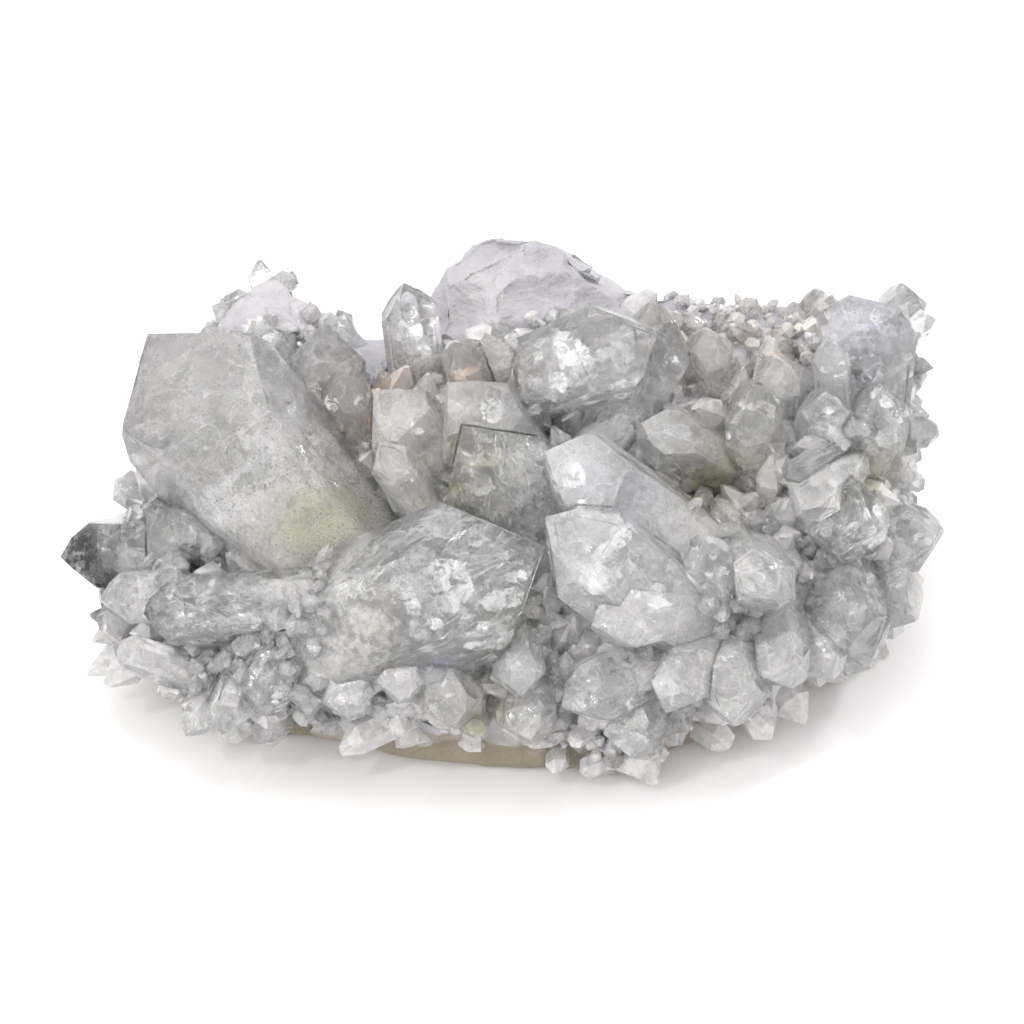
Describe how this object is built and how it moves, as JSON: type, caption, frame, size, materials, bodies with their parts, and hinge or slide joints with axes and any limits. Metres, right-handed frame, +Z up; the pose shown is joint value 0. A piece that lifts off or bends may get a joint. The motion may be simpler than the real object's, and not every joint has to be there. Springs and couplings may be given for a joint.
{
  "type": "quartz crystal cluster",
  "caption": "Quartz crystal cluster: clear and cloudy six-sided points grown at all angles from a plate of milky quartz rock that rests on its flat underside",
  "frame": {"origin": "middle of the box on the plane that the rock rests on", "axes": "+X along the plate's length to the right, +Y to the back where the rock is highest, +Z up; the crystals face forward (-Y) and up"},
  "size_m": [0.1204, 0.0746, 0.0512],
  "materials": {
    "clear_quartz": "clear colourless quartz with veils and faint olive and brown tints, bright growth faces",
    "cloudy_quartz": "cloudy to frosted quartz, bright to satin growth faces",
    "milky_rock": "rough broken milky quartz rock, pale lavender grey above, brown with iron stain beneath"
  },
  "bodies": {
    "root": {"great_crystal": "clear_quartz", "broken_stub": "clear_quartz", "black_tip": "clear_quartz", "cross_crystal": "clear_quartz", "left_lump": "cloudy_quartz", "left_lens": "cloudy_quartz", "corner_front": "cloudy_quartz", "corner_side": "cloudy_quartz", "corner_back": "cloudy_quartz", "bright_wedge": "clear_quartz", "front_clear": "clear_quartz", "olive_head": "clear_quartz", "white_sliver": "cloudy_quartz", "warm_face": "cloudy_quartz", "long_back": "cloudy_quartz", "arch_peak": "clear_quartz", "bright_flake": "cloudy_quartz", "tucked_clear": "clear_quartz", "smooth_grey": "clear_quartz", "upright": "clear_quartz", "back_grey": "clear_quartz", "back_step": "cloudy_quartz", "left_back": "cloudy_quartz", "dark_peak": "clear_quartz", "white_bars": "cloudy_quartz", "pale_heart": "cloudy_quartz", "frosted": "cloudy_quartz", "wide_prism": "clear_quartz", "streaked": "cloudy_quartz", "long_low": "cloudy_quartz", "low_blade": "clear_quartz", "foot_stub": "cloudy_quartz", "sparkle_wedge": "cloudy_quartz", "low_hexagon": "cloudy_quartz", "mid_triangle": "cloudy_quartz", "low_middle": "cloudy_quartz", "low_round": "cloudy_quartz", "low_left_teeth": "cloudy_quartz", "low_bead": "cloudy_quartz", "round_head": "cloudy_quartz", "dark_edge": "cloudy_quartz", "low_corner": "cloudy_quartz", "small_peak": "clear_quartz", "right_barrel": "clear_quartz", "clear_drop": "clear_quartz", "low_right": "cloudy_quartz", "right_flank": "cloudy_quartz", "right_slope": "cloudy_quartz", "square_block": "cloudy_quartz", "corner_knob": "cloudy_quartz", "right_bead": "cloudy_quartz", "bright_facet": "cloudy_quartz", "blue_streaks": "cloudy_quartz", "grey_facet": "cloudy_quartz", "round_shoulder": "clear_quartz", "pale_round": "cloudy_quartz", "slant_rod": "clear_quartz", "pale_knob": "cloudy_quartz", "right_tooth": "cloudy_quartz", "rock": "milky_rock"}
  },
  "joints": []
}
